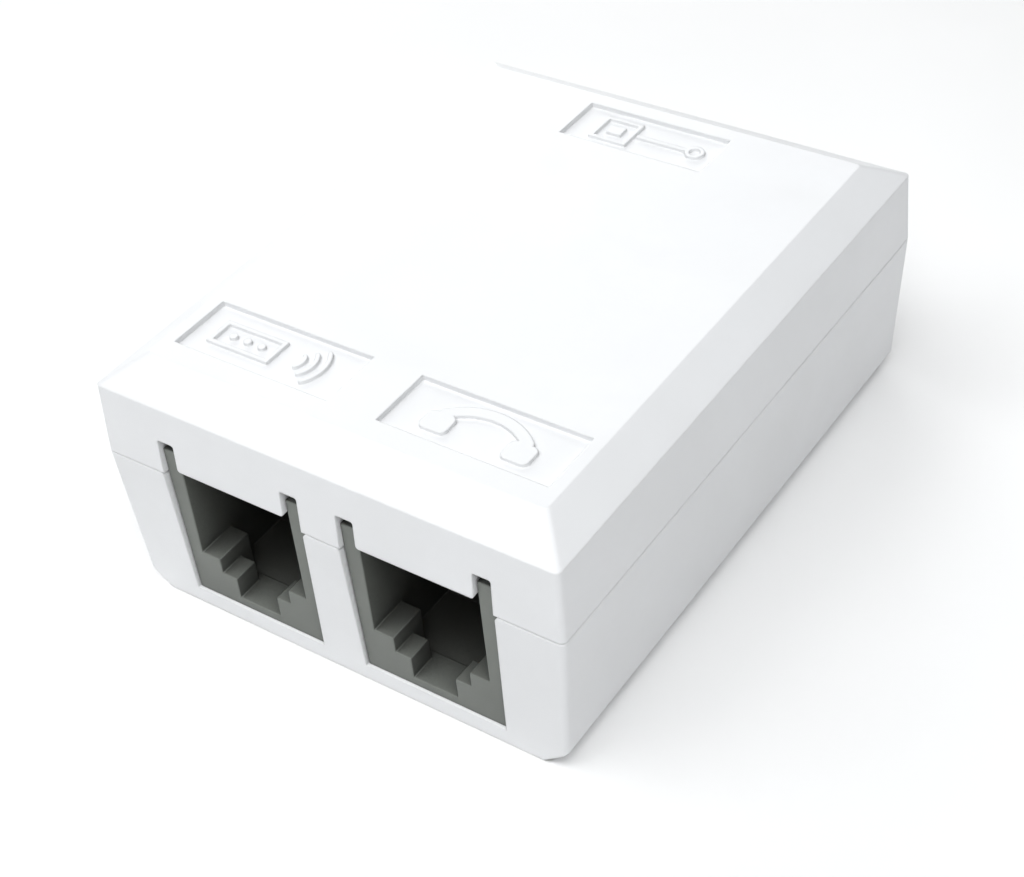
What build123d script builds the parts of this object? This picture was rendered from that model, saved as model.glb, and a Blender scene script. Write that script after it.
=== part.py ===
"""Telephone line splitter box: two modular sockets in front, one at the back.

The frame has +X to the right of the two front sockets, +Y from the front face to the
back face and +Z up. The origin is the middle of the underside. All sizes are in mm.
"""

import math
import os

from build123d import *

os.makedirs("parts", exist_ok=True)

# Case: sizes of the outside at its four levels
CASE_WIDTH = 39.8
CASE_LENGTH = 51.1
PARTING_HEIGHT = 13.1
SHOULDER_HEIGHT = 19.15
CASE_HEIGHT = 21.0
CORNER_RADIUS = 0.45
PLATEAU_CORNER_RADIUS = 0.4
BASE_SIDE_DRAFT = 0.85
BASE_END_DRAFT = 0.25
COVER_SIDE_DRAFT = 0.15
COVER_END_DRAFT = 0.3
BEVEL_SIDE_INSET = 2.75
BEVEL_END_INSET = 3.15
BASE_CHAMFER_WIDTH = 2.05
BASE_CHAMFER_HEIGHT = 1.7

# Case: walls
WALL = 1.6
FLOOR = 1.45
ROOF = 1.6
TONGUE_THICKNESS = 0.9
TONGUE_DEPTH = 1.6
TONGUE_HEIGHT = 3.2
TONGUE_END_GAP = 3.0
SLIDING_GAP = 0.1
PARTING_BEVEL = 0.1

# Label recesses in the roof, centres as (x, y)
RECESS_DEPTH = 0.4
FRONT_RECESS_SIZE = (13.9, 5.4)
FRONT_RECESS_OFFSET = 9.05
FRONT_RECESS_Y = -17.6
REAR_RECESS_SIZE = (12.9, 5.0)
REAR_RECESS_Y = 18.2

# Raised marks, placed from the middle of their recess
MARK_HEIGHT = 0.25
MARK_LINE = 0.35
MODEM_BOX = (5.6, 2.6)
MODEM_BOX_X = -2.4
LAMP_RADIUS = 0.32
LAMP_PITCH = 1.3
WAVES_X = 1.6
WAVE_RADII = (1.0, 1.9, 2.8)
WAVE_HALF_ANGLE = 38.0
HANDSET_CUP = (2.2, 1.9, 0.5)
HANDSET_CUP_AT = (3.3, -0.7)
HANDSET_GRIP_END = (3.3, 0.3)
HANDSET_GRIP_RISE = 1.6
HANDSET_GRIP_WIDTH = 0.9
PLATE_SIZE = (3.4, 3.2)
PLATE_SOCKET = (1.3, 1.1)
PLATE_X = -2.6
WIRE_MARK = (5.4, 0.4)
WIRE_MARK_X = 2.0
RING_RADII = (0.8, 0.45)
RING_X = 4.6

# Sockets: 6-position modular jacks, keyway at the bottom
SOCKET_OFFSET = 8.05
FACE_RECESS = 0.45
JACK_WIDTH = 12.7
JACK_FOOT_WIDTH = 12.1
JACK_DEPTH = 15.5
JACK_TOP = 15.25
CAVITY_WIDTH = 9.9
CAVITY_DEPTH = 11.3
CEILING = 13.5
CEILING_PLATE = 0.9
CEILING_START = 2.1
UPPER_LEDGE = (6.55, 5.5, 3.35)
LOWER_LEDGE = (3.85, 4.12, 2.2)
LIP_TOP = 2.2
LIP_DEPTH = 2.85
CHAMBER_FLOOR = 2.0
CHAMBER_END = 8.5
CUTOUT_WIDTH = 12.9
CUTOUT_FOOT_WIDTH = 12.25
CUTOUT_CORNER_RADIUS = 0.45
OPENING_WIDTH = 12.75
NOTCH_TOP = 16.2
NOTCH_CORNER_RADIUS = 0.2
TAB_WIDTH = 9.75
TAB_BOTTOM = 13.9
TAB_CORNER_RADIUS = 0.25
LOCATING_PEG_RADIUS = 1.6
LOCATING_PEG_X = 4.2
LOCATING_PEG_Y = 6.9

# Contacts: round spring wires, four of six positions in use
WIRE_RADIUS = 0.225
CONTACT_PITCH = 1.02
CONTACT_POSITIONS = (-1.5, -0.5, 0.5, 1.5)
SLOT_POSITIONS = (-2.5, -1.5, -0.5, 0.5, 1.5, 2.5)
SLOT_WIDTH = 0.75
SLOT_DEPTH = 1.65
SLOT_BOTTOM = 8.1
CURL_RADIUS = 0.7
SPRING_SLOPE = 24.0
SPRING_LENGTH = 11.2
SPRING_GAP = 0.06
PIN_ROWS = (13.2, 10.66)
PIN_BEND = 0.4

# Circuit board, carried on top of the jacks with its parts hanging below
BOARD_SIZE = (34.0, 46.4)
BOARD_THICKNESS = 1.6
BOARD_TOP = JACK_TOP + BOARD_THICKNESS
LEAD_END = BOARD_TOP + 1.1
PIN_HOLE_RADIUS = 0.45

# Posts of the base, and the pegs of the cover that enter them
POST_X = 15.1
POST_Y = (-7.45, 20.4)
POST_RADIUS = 1.8
SOCKET_RADIUS = 1.05
SOCKET_BOTTOM = 12.4
PEG_RADIUS = 0.95
PEG_TIP = 12.9
BOARD_PEG_HOLE = 1.2

# Solder fillets
FILLET_RADIUS = 0.85
FILLET_TOP_RADIUS = 0.34
FILLET_HEIGHT = 0.75
SOLDER_BORE_GAP = 0.01

# Chokes: E cores on bobbins, winding axis along Y
CHOKE_X = 9.3
CHOKE_AXIS_DROP = 5.8
CORE_WIDTH = 10.2
CORE_LENGTH = 10.8
CORE_HEIGHT = 4.7
CORE_SIDE_LEG = 1.25
CORE_MIDDLE_LEG = 2.4
CORE_YOKE = 1.3
BOBBIN_WALL = 0.6
BOBBIN_GAP = 0.1
BOBBIN_FLANGE = (7.2, 8.4)
BOBBIN_RAIL_HEIGHT = 1.7
BOBBIN_RAIL_LENGTH = 2.3
WINDING_SIZE = (6.6, 8.0)
WINDING_CORNER_RADIUS = 1.2
CHOKE_PIN_X = 3.75
CHOKE_PIN_Y = 4.3
CHOKE_PIN_RADIUS = 0.3
CHOKE_PIN_BURIED = 1.3

# Capacitors and resistors
FILM_SIZE = (7.2, 2.9, 7.0)
FILM_CORNER_RADIUS = 0.35
FILM_Y = (-5.3, 0.0, 5.3)
FILM_LEAD_PITCH = 5.0
STANDOFF = 0.4
LEAD_RADIUS = 0.25
DISC_CENTRE = (11.4, 13.2)
DISC_RADIUS = 3.2
DISC_THICKNESS = 2.4
DISC_EDGE_RADIUS = 0.96
DISC_LEAD_PITCH = 5.0
DISC_LEAD_START = (0.6, 0.96)
RESISTOR_Y = (12.2, 16.4)
RESISTOR_X = -11.4
RESISTOR_LENGTH = 6.3
RESISTOR_END_RADIUS = 1.2
RESISTOR_WAIST_RADIUS = 1.0
RESISTOR_DROP = 1.6
RESISTOR_LEAD_PITCH = 9.0

# Levels and lengths that follow from the sizes above
HALF_WIDTH = CASE_WIDTH / 2
HALF_LENGTH = CASE_LENGTH / 2
INNER_WIDTH = CASE_WIDTH - 2 * WALL
INNER_LENGTH = CASE_LENGTH - 2 * WALL
FACE_Y = HALF_LENGTH - FACE_RECESS
CURL_HEIGHT = CEILING + CEILING_PLATE / 2
CURL_END_ANGLE = 270 - SPRING_SLOPE
PIVOT_IN = CEILING_START + CURL_RADIUS * math.cos(math.radians(CURL_END_ANGLE))
PIVOT_HEIGHT = CURL_HEIGHT + CURL_RADIUS * math.sin(math.radians(CURL_END_ANGLE))
WIRE_RUN_HEIGHT = CURL_HEIGHT + CURL_RADIUS
CUTOUT_ROUND_START = PARTING_HEIGHT - CUTOUT_CORNER_RADIUS
DISC_HEIGHT = JACK_TOP - STANDOFF - DISC_RADIUS


class Socket:
    """One socket: its name and the planes that its pieces are drawn on.

    `plan` lies level with its origin under the middle of the socket's face and its +Y
    pointing into the case. `section` stands upright along that direction. `wall` stands on
    the outside of the case wall and `face` on the socket's face, both with their +Y up.
    """

    def __init__(self, name, x, side):
        self.name = name
        self.x = x
        self.side = side
        self.plan = Plane(origin=(x, -side * FACE_Y, 0), x_dir=(side, 0, 0), z_dir=(0, 0, 1))
        self.face = Plane(origin=self.plan.origin, x_dir=(-side, 0, 0), z_dir=(0, side, 0))
        self.wall = Plane(origin=(x, -side * HALF_LENGTH, 0), x_dir=(1, 0, 0), z_dir=(0, -1, 0))

    def section(self, sideways):
        """Upright plane at `sideways` from the middle: local x runs inwards, local y is up."""
        origin = self.plan.from_local_coords((sideways, 0, 0))
        return Plane(origin=origin, x_dir=(0, self.side, 0), z_dir=(self.side, 0, 0))

    def place(self, sideways, inwards):
        """Position in the case of a point of this socket, as (x, y)."""
        point = self.plan.from_local_coords((sideways, inwards, 0))
        return point.X, point.Y


SOCKETS = (
    Socket("modem", -SOCKET_OFFSET, 1),
    Socket("phone", SOCKET_OFFSET, 1),
    Socket("line", 0.0, -1),
)
POSTS = [(side * POST_X, y) for side in (-1, 1) for y in POST_Y]


def block(x_span, y_span, z_span, mode=Mode.ADD):
    """Box between three pairs of limits, in the workplane of the part being built."""
    size = [high - low for low, high in (x_span, y_span, z_span)]
    with Locations((x_span[0], y_span[0], z_span[0])):
        Box(*size, align=(Align.MIN, Align.MIN, Align.MIN), mode=mode)


def across(width):
    """Span of a width that is centred on the middle."""
    return -width / 2, width / 2


def spring_point(distance):
    """Point of a contact wire's free end, as (inwards, up), at a distance from its root."""
    slope = math.radians(SPRING_SLOPE)
    return PIVOT_IN + distance * math.cos(slope), PIVOT_HEIGHT - distance * math.sin(slope)


def finish(builder, name):
    """Label a finished piece and write it to its own file."""
    builder.part.label = name
    export_step(builder.part, f"parts/{name}.step")


# ---------------------------------------------------------------- base and cover

BASE_BOTTOM = (CASE_WIDTH - 2 * BASE_SIDE_DRAFT, CASE_LENGTH - 2 * BASE_END_DRAFT)
PARTING = (CASE_WIDTH - 2 * PARTING_BEVEL, CASE_LENGTH - 2 * PARTING_BEVEL)
SHOULDER = (CASE_WIDTH - 2 * COVER_SIDE_DRAFT, CASE_LENGTH - 2 * COVER_END_DRAFT)
PLATEAU = (SHOULDER[0] - 2 * BEVEL_SIDE_INSET, SHOULDER[1] - 2 * BEVEL_END_INSET)
BASE_KNEE_HALF = HALF_WIDTH - BASE_SIDE_DRAFT * (1 - BASE_CHAMFER_HEIGHT / PARTING_HEIGHT)
BASE_UNDERSIDE_HALF = BASE_KNEE_HALF - BASE_CHAMFER_WIDTH
RIM_BOTTOM = PARTING_HEIGHT - TONGUE_DEPTH - SLIDING_GAP

with BuildPart() as bottom_shell:
    with BuildSketch():
        RectangleRounded(*BASE_BOTTOM, CORNER_RADIUS)
    with BuildSketch(Plane.XY.offset(PARTING_HEIGHT - PARTING_BEVEL)):
        RectangleRounded(CASE_WIDTH, CASE_LENGTH, CORNER_RADIUS)
    with BuildSketch(Plane.XY.offset(PARTING_HEIGHT)):
        RectangleRounded(*PARTING, CORNER_RADIUS - PARTING_BEVEL)
    loft(ruled=True)
    # The long lower edges are cut away at a slant.
    with BuildSketch(Plane.XZ):
        with BuildLine():
            Polyline(
                (-CASE_WIDTH, PARTING_HEIGHT),
                (-BASE_KNEE_HALF, BASE_CHAMFER_HEIGHT),
                (-BASE_UNDERSIDE_HALF, 0),
                (BASE_UNDERSIDE_HALF, 0),
                (BASE_KNEE_HALF, BASE_CHAMFER_HEIGHT),
                (CASE_WIDTH, PARTING_HEIGHT),
                close=True,
            )
        make_face()
    extrude(amount=CASE_LENGTH, both=True, mode=Mode.INTERSECT)
    # The hollow follows the slanted edges.
    with BuildSketch(Plane.XZ):
        with BuildLine():
            Polyline(
                (-INNER_WIDTH / 2, PARTING_HEIGHT),
                (-INNER_WIDTH / 2, RIM_BOTTOM),
                (-INNER_WIDTH / 2 + BASE_SIDE_DRAFT, FLOOR + BASE_CHAMFER_HEIGHT),
                (-BASE_UNDERSIDE_HALF, FLOOR),
                (BASE_UNDERSIDE_HALF, FLOOR),
                (INNER_WIDTH / 2 - BASE_SIDE_DRAFT, FLOOR + BASE_CHAMFER_HEIGHT),
                (INNER_WIDTH / 2, RIM_BOTTOM),
                (INNER_WIDTH / 2, PARTING_HEIGHT),
                close=True,
            )
        make_face()
    extrude(amount=INNER_LENGTH / 2, both=True, mode=Mode.SUBTRACT)
    # Each cut-out widens upwards, and its upper corners turn outwards in a quarter round.
    round_centre = (CUTOUT_WIDTH / 2 + CUTOUT_CORNER_RADIUS, CUTOUT_ROUND_START)
    for socket in SOCKETS:
        with BuildSketch(socket.wall):
            with BuildLine():
                Polyline(
                    (-CUTOUT_FOOT_WIDTH / 2, FLOOR),
                    (CUTOUT_FOOT_WIDTH / 2, FLOOR),
                    (CUTOUT_WIDTH / 2, CUTOUT_ROUND_START),
                    (-CUTOUT_WIDTH / 2, CUTOUT_ROUND_START),
                    close=True,
                )
            make_face()
            with Locations((0, PARTING_HEIGHT - CUTOUT_CORNER_RADIUS / 2)):
                Rectangle(2 * round_centre[0], CUTOUT_CORNER_RADIUS)
            with Locations((-round_centre[0], round_centre[1]), round_centre):
                Circle(CUTOUT_CORNER_RADIUS, mode=Mode.SUBTRACT)
        extrude(amount=2 * WALL, both=True, mode=Mode.SUBTRACT)
    with BuildSketch(Plane.XY.offset(FLOOR)):
        with Locations(*POSTS):
            Circle(POST_RADIUS)
    extrude(amount=JACK_TOP - FLOOR)
    with BuildSketch(Plane.XY.offset(SOCKET_BOTTOM)):
        with Locations(*POSTS):
            Circle(SOCKET_RADIUS)
    extrude(amount=JACK_TOP - SOCKET_BOTTOM, mode=Mode.SUBTRACT)
finish(bottom_shell, "bottom_shell")

INNER_SHOULDER_HEIGHT = SHOULDER_HEIGHT - ROOF / 2
INNER_PLATEAU_HEIGHT = CASE_HEIGHT - ROOF

with BuildPart() as top_cover:
    with BuildSketch(Plane.XY.offset(PARTING_HEIGHT)):
        RectangleRounded(*PARTING, CORNER_RADIUS - PARTING_BEVEL)
    with BuildSketch(Plane.XY.offset(PARTING_HEIGHT + PARTING_BEVEL)):
        RectangleRounded(CASE_WIDTH, CASE_LENGTH, CORNER_RADIUS)
    with BuildSketch(Plane.XY.offset(SHOULDER_HEIGHT)):
        RectangleRounded(*SHOULDER, CORNER_RADIUS)
    with BuildSketch(Plane.XY.offset(CASE_HEIGHT)):
        RectangleRounded(*PLATEAU, PLATEAU_CORNER_RADIUS)
    loft(ruled=True)
    hollow_span = (PARTING_HEIGHT, INNER_SHOULDER_HEIGHT)
    block(across(INNER_WIDTH), across(INNER_LENGTH), hollow_span, Mode.SUBTRACT)
    with BuildSketch(Plane.XY.offset(INNER_SHOULDER_HEIGHT)):
        Rectangle(INNER_WIDTH, INNER_LENGTH)
    with BuildSketch(Plane.XY.offset(INNER_PLATEAU_HEIGHT)):
        Rectangle(INNER_WIDTH - BEVEL_SIDE_INSET, INNER_LENGTH - BEVEL_END_INSET)
    loft(ruled=True, mode=Mode.SUBTRACT)
    # Tongues inside the long walls reach down into the base.
    tongue_outside = INNER_WIDTH / 2 - SLIDING_GAP
    tongue_span = (INNER_LENGTH / 2 - TONGUE_END_GAP) * 2
    for side in (-1, 1):
        x_span = sorted((side * (tongue_outside - TONGUE_THICKNESS), side * tongue_outside))
        root_span = sorted((side * tongue_outside, side * (tongue_outside + WALL / 2)))
        tongue_top = PARTING_HEIGHT - TONGUE_DEPTH + TONGUE_HEIGHT
        block(x_span, across(tongue_span), (PARTING_HEIGHT - TONGUE_DEPTH, tongue_top))
        block(root_span, across(tongue_span), (PARTING_HEIGHT, tongue_top))
    # Above each cavity hangs a tab, between two notches for the jack's side walls.
    for socket in SOCKETS:
        with BuildSketch(socket.wall) as opening:
            with Locations((0, (PARTING_HEIGHT + NOTCH_TOP) / 2)):
                Rectangle(OPENING_WIDTH, NOTCH_TOP - PARTING_HEIGHT)
            with Locations((0, (TAB_BOTTOM + NOTCH_TOP) / 2)):
                Rectangle(TAB_WIDTH, NOTCH_TOP - TAB_BOTTOM, mode=Mode.SUBTRACT)
            fillet(opening.vertices().group_by(Axis.Y)[1], TAB_CORNER_RADIUS)
            fillet(opening.vertices().group_by(Axis.Y)[-1], NOTCH_CORNER_RADIUS)
        extrude(amount=2 * WALL, both=True, mode=Mode.SUBTRACT)
    # Bosses press the board on to the posts, and their pegs enter the posts.
    with BuildSketch(Plane.XY.offset(BOARD_TOP)):
        with Locations(*POSTS):
            Circle(POST_RADIUS)
    extrude(amount=INNER_PLATEAU_HEIGHT - BOARD_TOP + ROOF / 4)
    with BuildSketch(Plane.XY.offset(PEG_TIP)):
        with Locations(*POSTS):
            Circle(PEG_RADIUS)
    extrude(amount=BOARD_TOP - PEG_TIP)
    # Recesses that carry the raised marks of the three sockets.
    modem_recess = Plane(origin=(-FRONT_RECESS_OFFSET, FRONT_RECESS_Y, CASE_HEIGHT - RECESS_DEPTH))
    phone_recess = Plane(origin=(FRONT_RECESS_OFFSET, FRONT_RECESS_Y, CASE_HEIGHT - RECESS_DEPTH))
    line_recess = Plane(origin=(0, REAR_RECESS_Y, CASE_HEIGHT - RECESS_DEPTH))
    with BuildSketch(modem_recess, phone_recess):
        Rectangle(*FRONT_RECESS_SIZE)
    extrude(amount=RECESS_DEPTH, mode=Mode.SUBTRACT)
    with BuildSketch(line_recess):
        Rectangle(*REAR_RECESS_SIZE)
    extrude(amount=RECESS_DEPTH, mode=Mode.SUBTRACT)
    # Modem mark: a box with a row of lamps beside a fan of waves.
    with BuildSketch(modem_recess):
        with Locations((MODEM_BOX_X, 0)):
            Rectangle(*MODEM_BOX)
            Rectangle(MODEM_BOX[0] - 2 * MARK_LINE, MODEM_BOX[1] - 2 * MARK_LINE, mode=Mode.SUBTRACT)
            with GridLocations(LAMP_PITCH, LAMP_PITCH, 3, 1):
                Circle(LAMP_RADIUS)
        for radius in WAVE_RADII:
            with BuildLine():
                CenterArc((WAVES_X, 0), radius, -WAVE_HALF_ANGLE, 2 * WAVE_HALF_ANGLE)
                offset(amount=MARK_LINE / 2, side=Side.BOTH)
            make_face()
    extrude(amount=MARK_HEIGHT)
    # Phone mark: a handset, two end cups joined by a curved grip.
    with BuildSketch(phone_recess):
        cup_x, cup_y = HANDSET_CUP_AT
        with Locations((-cup_x, cup_y), (cup_x, cup_y)):
            RectangleRounded(*HANDSET_CUP)
        with BuildLine():
            end_x, end_y = HANDSET_GRIP_END
            ThreePointArc((-end_x, end_y), (0, HANDSET_GRIP_RISE), (end_x, end_y))
            offset(amount=HANDSET_GRIP_WIDTH / 2, side=Side.BOTH)
        make_face()
    extrude(amount=MARK_HEIGHT)
    # Line mark: a wall plate with its socket, and a wire to a ring.
    with BuildSketch(line_recess):
        with Locations((PLATE_X, 0)):
            Rectangle(*PLATE_SIZE)
            Rectangle(PLATE_SIZE[0] - 2 * MARK_LINE, PLATE_SIZE[1] - 2 * MARK_LINE, mode=Mode.SUBTRACT)
            Rectangle(*PLATE_SOCKET)
        with Locations((WIRE_MARK_X, 0)):
            SlotOverall(*WIRE_MARK)
        with Locations((RING_X, 0)):
            Circle(RING_RADII[0])
            Circle(RING_RADII[1], mode=Mode.SUBTRACT)
    extrude(amount=MARK_HEIGHT)
finish(top_cover, "top_cover")

# ---------------------------------------------------------------- sockets

for socket in SOCKETS:
    with BuildPart(socket.plan) as jack_housing:
        # The sides spread upwards as far as the cut-out in the base does.
        with BuildSketch(socket.face):
            with BuildLine():
                Polyline(
                    (-JACK_FOOT_WIDTH / 2, FLOOR),
                    (JACK_FOOT_WIDTH / 2, FLOOR),
                    (JACK_WIDTH / 2, CUTOUT_ROUND_START),
                    (JACK_WIDTH / 2, JACK_TOP),
                    (-JACK_WIDTH / 2, JACK_TOP),
                    (-JACK_WIDTH / 2, CUTOUT_ROUND_START),
                    close=True,
                )
            make_face()
        extrude(amount=JACK_DEPTH)
        block(across(CAVITY_WIDTH), (0, CAVITY_DEPTH), (UPPER_LEDGE[1], CEILING), Mode.SUBTRACT)
        # The keyway: two pairs of ledges at the mouth and a chamber for the latch behind.
        upper_step = (LOWER_LEDGE[1], UPPER_LEDGE[1])
        lower_step = (LIP_TOP, LOWER_LEDGE[1])
        chamber = (CHAMBER_FLOOR, UPPER_LEDGE[1])
        block(across(UPPER_LEDGE[0]), (0, UPPER_LEDGE[2]), upper_step, Mode.SUBTRACT)
        block(across(LOWER_LEDGE[0]), (0, LIP_DEPTH), lower_step, Mode.SUBTRACT)
        block(across(UPPER_LEDGE[0]), (LOWER_LEDGE[2], LIP_DEPTH), lower_step, Mode.SUBTRACT)
        block(across(UPPER_LEDGE[0]), (LIP_DEPTH, CHAMBER_END), chamber, Mode.SUBTRACT)
        block(across(CAVITY_WIDTH), (UPPER_LEDGE[2], CHAMBER_END), chamber, Mode.SUBTRACT)
        # Room for the cover's tab, then a plate with a rounded nose under the wires.
        block(across(CAVITY_WIDTH), (0, CEILING_START), (CEILING, JACK_TOP), Mode.SUBTRACT)
        with BuildSketch(socket.section(0)):
            with Locations((CEILING_START, CURL_HEIGHT)):
                Circle(CEILING_PLATE / 2)
        extrude(amount=CAVITY_WIDTH / 2, both=True)
        groove = (CEILING_START, PIN_ROWS[0] + SLOT_WIDTH / 2)
        comb = (CAVITY_DEPTH, CAVITY_DEPTH + SLOT_DEPTH)
        for position in SLOT_POSITIONS:
            middle = position * CONTACT_PITCH
            x_span = (middle - SLOT_WIDTH / 2, middle + SLOT_WIDTH / 2)
            block(x_span, groove, (CEILING + CEILING_PLATE, JACK_TOP), Mode.SUBTRACT)
            block(x_span, comb, (SLOT_BOTTOM, CEILING), Mode.SUBTRACT)
        with BuildSketch(socket.plan.offset(JACK_TOP)):
            with Locations((-LOCATING_PEG_X, LOCATING_PEG_Y), (LOCATING_PEG_X, LOCATING_PEG_Y)):
                Circle(LOCATING_PEG_RADIUS)
        extrude(amount=LEAD_END - JACK_TOP)
    finish(jack_housing, f"{socket.name}_jack_housing")

    # Fixed ends of the wires: pin through the board, run along the groove, curl down.
    with BuildPart() as contact_tails:
        for index, position in enumerate(CONTACT_POSITIONS):
            pin_in = PIN_ROWS[index % 2]
            with BuildLine(socket.section(position * CONTACT_PITCH)) as path:
                pin = Line((pin_in, LEAD_END), (pin_in, WIRE_RUN_HEIGHT + PIN_BEND))
                RadiusArc(pin @ 1, (pin_in - PIN_BEND, WIRE_RUN_HEIGHT), PIN_BEND)
                Line((pin_in - PIN_BEND, WIRE_RUN_HEIGHT), (CEILING_START, WIRE_RUN_HEIGHT))
                CenterArc((CEILING_START, CURL_HEIGHT), CURL_RADIUS, 90, CURL_END_ANGLE - 90)
            with BuildSketch(Plane(origin=path.wires()[0] @ 0, z_dir=path.wires()[0] % 0)):
                Circle(WIRE_RADIUS)
            sweep()
    finish(contact_tails, f"{socket.name}_contact_tails")

    # Free ends of the wires: they slope into the cavity and the plug lifts them.
    with BuildPart() as contact_springs:
        for position in CONTACT_POSITIONS:
            with BuildLine(socket.section(position * CONTACT_PITCH)) as path:
                Line(spring_point(SPRING_GAP), spring_point(SPRING_LENGTH))
            with BuildSketch(Plane(origin=path.line @ 0, z_dir=path.line % 0)):
                Circle(WIRE_RADIUS)
            sweep()
    finish(contact_springs, f"{socket.name}_contact_springs")

# ---------------------------------------------------------------- circuit board

CHOKE_CENTRES = ((-CHOKE_X, 0.0), (CHOKE_X, 0.0))
CHOKE_PINS = [
    (x + side * CHOKE_PIN_X, y + end * CHOKE_PIN_Y)
    for x, y in CHOKE_CENTRES
    for side in (-1, 1)
    for end in (-1, 1)
]
FILM_LEADS = [(side * FILM_LEAD_PITCH / 2, y) for y in FILM_Y for side in (-1, 1)]
DISC_LEADS = [(DISC_CENTRE[0] + side * DISC_LEAD_PITCH / 2, DISC_CENTRE[1]) for side in (-1, 1)]
RESISTOR_LEADS = [
    (RESISTOR_X + side * RESISTOR_LEAD_PITCH / 2, y)
    for y in RESISTOR_Y
    for side in (-1, 1)
]
CONTACT_PINS = [
    socket.place(position * CONTACT_PITCH, PIN_ROWS[index % 2])
    for socket in SOCKETS
    for index, position in enumerate(CONTACT_POSITIONS)
]
LOCATING_PEGS = [
    socket.place(side * LOCATING_PEG_X, LOCATING_PEG_Y)
    for socket in SOCKETS
    for side in (-1, 1)
]
SOLDERED = (
    (CONTACT_PINS, WIRE_RADIUS),
    (CHOKE_PINS, CHOKE_PIN_RADIUS),
    (FILM_LEADS + DISC_LEADS + RESISTOR_LEADS, LEAD_RADIUS),
)

with BuildPart() as circuit_board:
    with BuildSketch(Plane.XY.offset(JACK_TOP)):
        Rectangle(*BOARD_SIZE)
        for places, _ in SOLDERED:
            with Locations(*places):
                Circle(PIN_HOLE_RADIUS, mode=Mode.SUBTRACT)
        with Locations(*LOCATING_PEGS):
            Circle(LOCATING_PEG_RADIUS + SLIDING_GAP, mode=Mode.SUBTRACT)
        with Locations(*POSTS):
            Circle(BOARD_PEG_HOLE, mode=Mode.SUBTRACT)
    extrude(amount=BOARD_THICKNESS)
finish(circuit_board, "circuit_board")

with BuildPart() as solder_joints:
    for places, lead_radius in SOLDERED:
        with BuildSketch(Plane.XY.offset(BOARD_TOP)):
            with Locations(*places):
                Circle(FILLET_RADIUS)
        shrink = math.degrees(math.atan((FILLET_RADIUS - FILLET_TOP_RADIUS) / FILLET_HEIGHT))
        extrude(amount=FILLET_HEIGHT, taper=shrink)
        with BuildSketch(Plane.XY.offset(BOARD_TOP)):
            with Locations(*places):
                Circle(lead_radius + SOLDER_BORE_GAP)
        extrude(amount=FILLET_HEIGHT, mode=Mode.SUBTRACT)
finish(solder_joints, "solder_joints")

# ---------------------------------------------------------------- chokes

CHOKE_AXIS = JACK_TOP - CHOKE_AXIS_DROP
TUBE_HOLE = (CORE_MIDDLE_LEG + 2 * BOBBIN_GAP, CORE_HEIGHT + 2 * BOBBIN_GAP)
TUBE_SIZE = (TUBE_HOLE[0] + 2 * BOBBIN_WALL, TUBE_HOLE[1] + 2 * BOBBIN_WALL)
WINDOW_LENGTH = CORE_LENGTH - 2 * CORE_YOKE
BOBBIN_LENGTH = WINDOW_LENGTH - 2 * BOBBIN_GAP

for name, centre in zip(("first", "second"), CHOKE_CENTRES):
    upright = Plane(origin=(*centre, CHOKE_AXIS), x_dir=(1, 0, 0), z_dir=(0, -1, 0))
    level = Plane(origin=(*centre, CHOKE_AXIS), x_dir=(1, 0, 0), z_dir=(0, 0, 1))

    with BuildPart() as choke_core:
        with BuildSketch(level):
            Rectangle(CORE_WIDTH, CORE_LENGTH)
            Rectangle(CORE_WIDTH - 2 * CORE_SIDE_LEG, WINDOW_LENGTH, mode=Mode.SUBTRACT)
            Rectangle(CORE_MIDDLE_LEG, WINDOW_LENGTH)
        extrude(amount=CORE_HEIGHT / 2, both=True)
    finish(choke_core, f"{name}_choke_core")

    with BuildPart() as choke_bobbin:
        with BuildSketch(upright):
            Rectangle(*TUBE_SIZE)
        extrude(amount=BOBBIN_LENGTH / 2, both=True)
        for end in (-1, 1):
            with BuildSketch(upright.offset(end * (BOBBIN_LENGTH - BOBBIN_WALL) / 2)):
                Rectangle(*BOBBIN_FLANGE)
            extrude(amount=BOBBIN_WALL / 2, both=True)
        with BuildSketch(Plane.XY.offset(JACK_TOP - BOBBIN_RAIL_HEIGHT)):
            for end in (-1, 1):
                with Locations((centre[0], centre[1] + end * CHOKE_PIN_Y)):
                    Rectangle(CORE_WIDTH - CORE_SIDE_LEG, BOBBIN_RAIL_LENGTH)
        extrude(amount=BOBBIN_RAIL_HEIGHT)
        with BuildSketch(upright):
            Rectangle(*TUBE_HOLE)
        extrude(amount=BOBBIN_LENGTH, both=True, mode=Mode.SUBTRACT)
        with BuildSketch(Plane.XY.offset(JACK_TOP - CHOKE_PIN_BURIED)):
            with Locations(*[pin for pin in CHOKE_PINS if pin[0] * centre[0] > 0]):
                Circle(CHOKE_PIN_RADIUS)
        extrude(amount=CHOKE_PIN_BURIED, mode=Mode.SUBTRACT)
    finish(choke_bobbin, f"{name}_choke_bobbin")

    with BuildPart() as choke_winding:
        with BuildSketch(upright):
            RectangleRounded(*WINDING_SIZE, WINDING_CORNER_RADIUS)
            Rectangle(*TUBE_SIZE, mode=Mode.SUBTRACT)
        extrude(amount=BOBBIN_LENGTH / 2 - BOBBIN_WALL, both=True)
    finish(choke_winding, f"{name}_choke_winding")

with BuildPart() as choke_pins:
    with BuildSketch(Plane.XY.offset(JACK_TOP - CHOKE_PIN_BURIED)):
        with Locations(*CHOKE_PINS):
            Circle(CHOKE_PIN_RADIUS)
    extrude(amount=LEAD_END - JACK_TOP + CHOKE_PIN_BURIED)
finish(choke_pins, "choke_pins")

# ---------------------------------------------------------------- small components

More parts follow.
